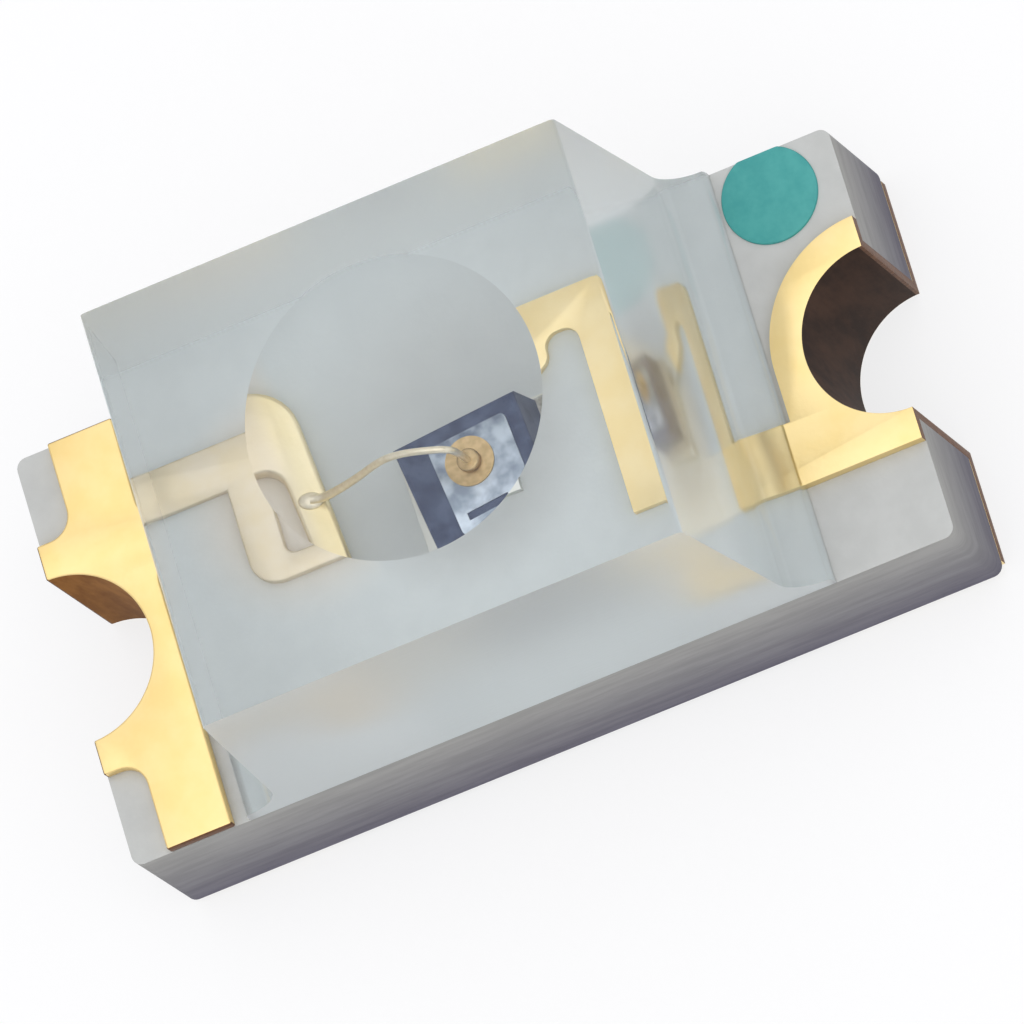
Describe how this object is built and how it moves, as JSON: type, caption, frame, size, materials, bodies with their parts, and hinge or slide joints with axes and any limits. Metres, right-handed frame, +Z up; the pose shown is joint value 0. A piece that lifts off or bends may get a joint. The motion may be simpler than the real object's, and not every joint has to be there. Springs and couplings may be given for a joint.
{
  "type": "surface-mount led",
  "caption": "Chip LED on a small white board with gold-plated half-round solder ends, a clear epoxy block and a shallow dome lens over the die.",
  "frame": {"origin": "middle of the underside, level with the faces of the two solder pads", "axes": "+X towards the cathode end, which carries the green dot; +Y towards the side that the dot is nearer to; +Z up through the dome"},
  "size_m": [0.0032, 0.0016, 0.0018],
  "materials": {
    "laminate": "white resin laminate, sawn at the sides",
    "gold_plating": "soft satin gold plate over copper",
    "silver_glue": "matt, silver filled",
    "semiconductor": "dark, half polished",
    "electrode_gold": "evaporated gold, bright",
    "wire_gold": "drawn gold, bright",
    "clear_epoxy": "water-clear moulded epoxy, sawn at the sides",
    "green_ink": "printed ink, satin"
  },
  "bodies": {
    "root": {"board_laminate": "laminate", "anode_terminal": "gold_plating", "cathode_terminal": "gold_plating", "die_attach": "silver_glue", "led_die": "semiconductor", "die_electrode": "electrode_gold", "bond_wire": "wire_gold", "epoxy_lens": "clear_epoxy", "polarity_dot": "green_ink"}
  },
  "joints": []
}
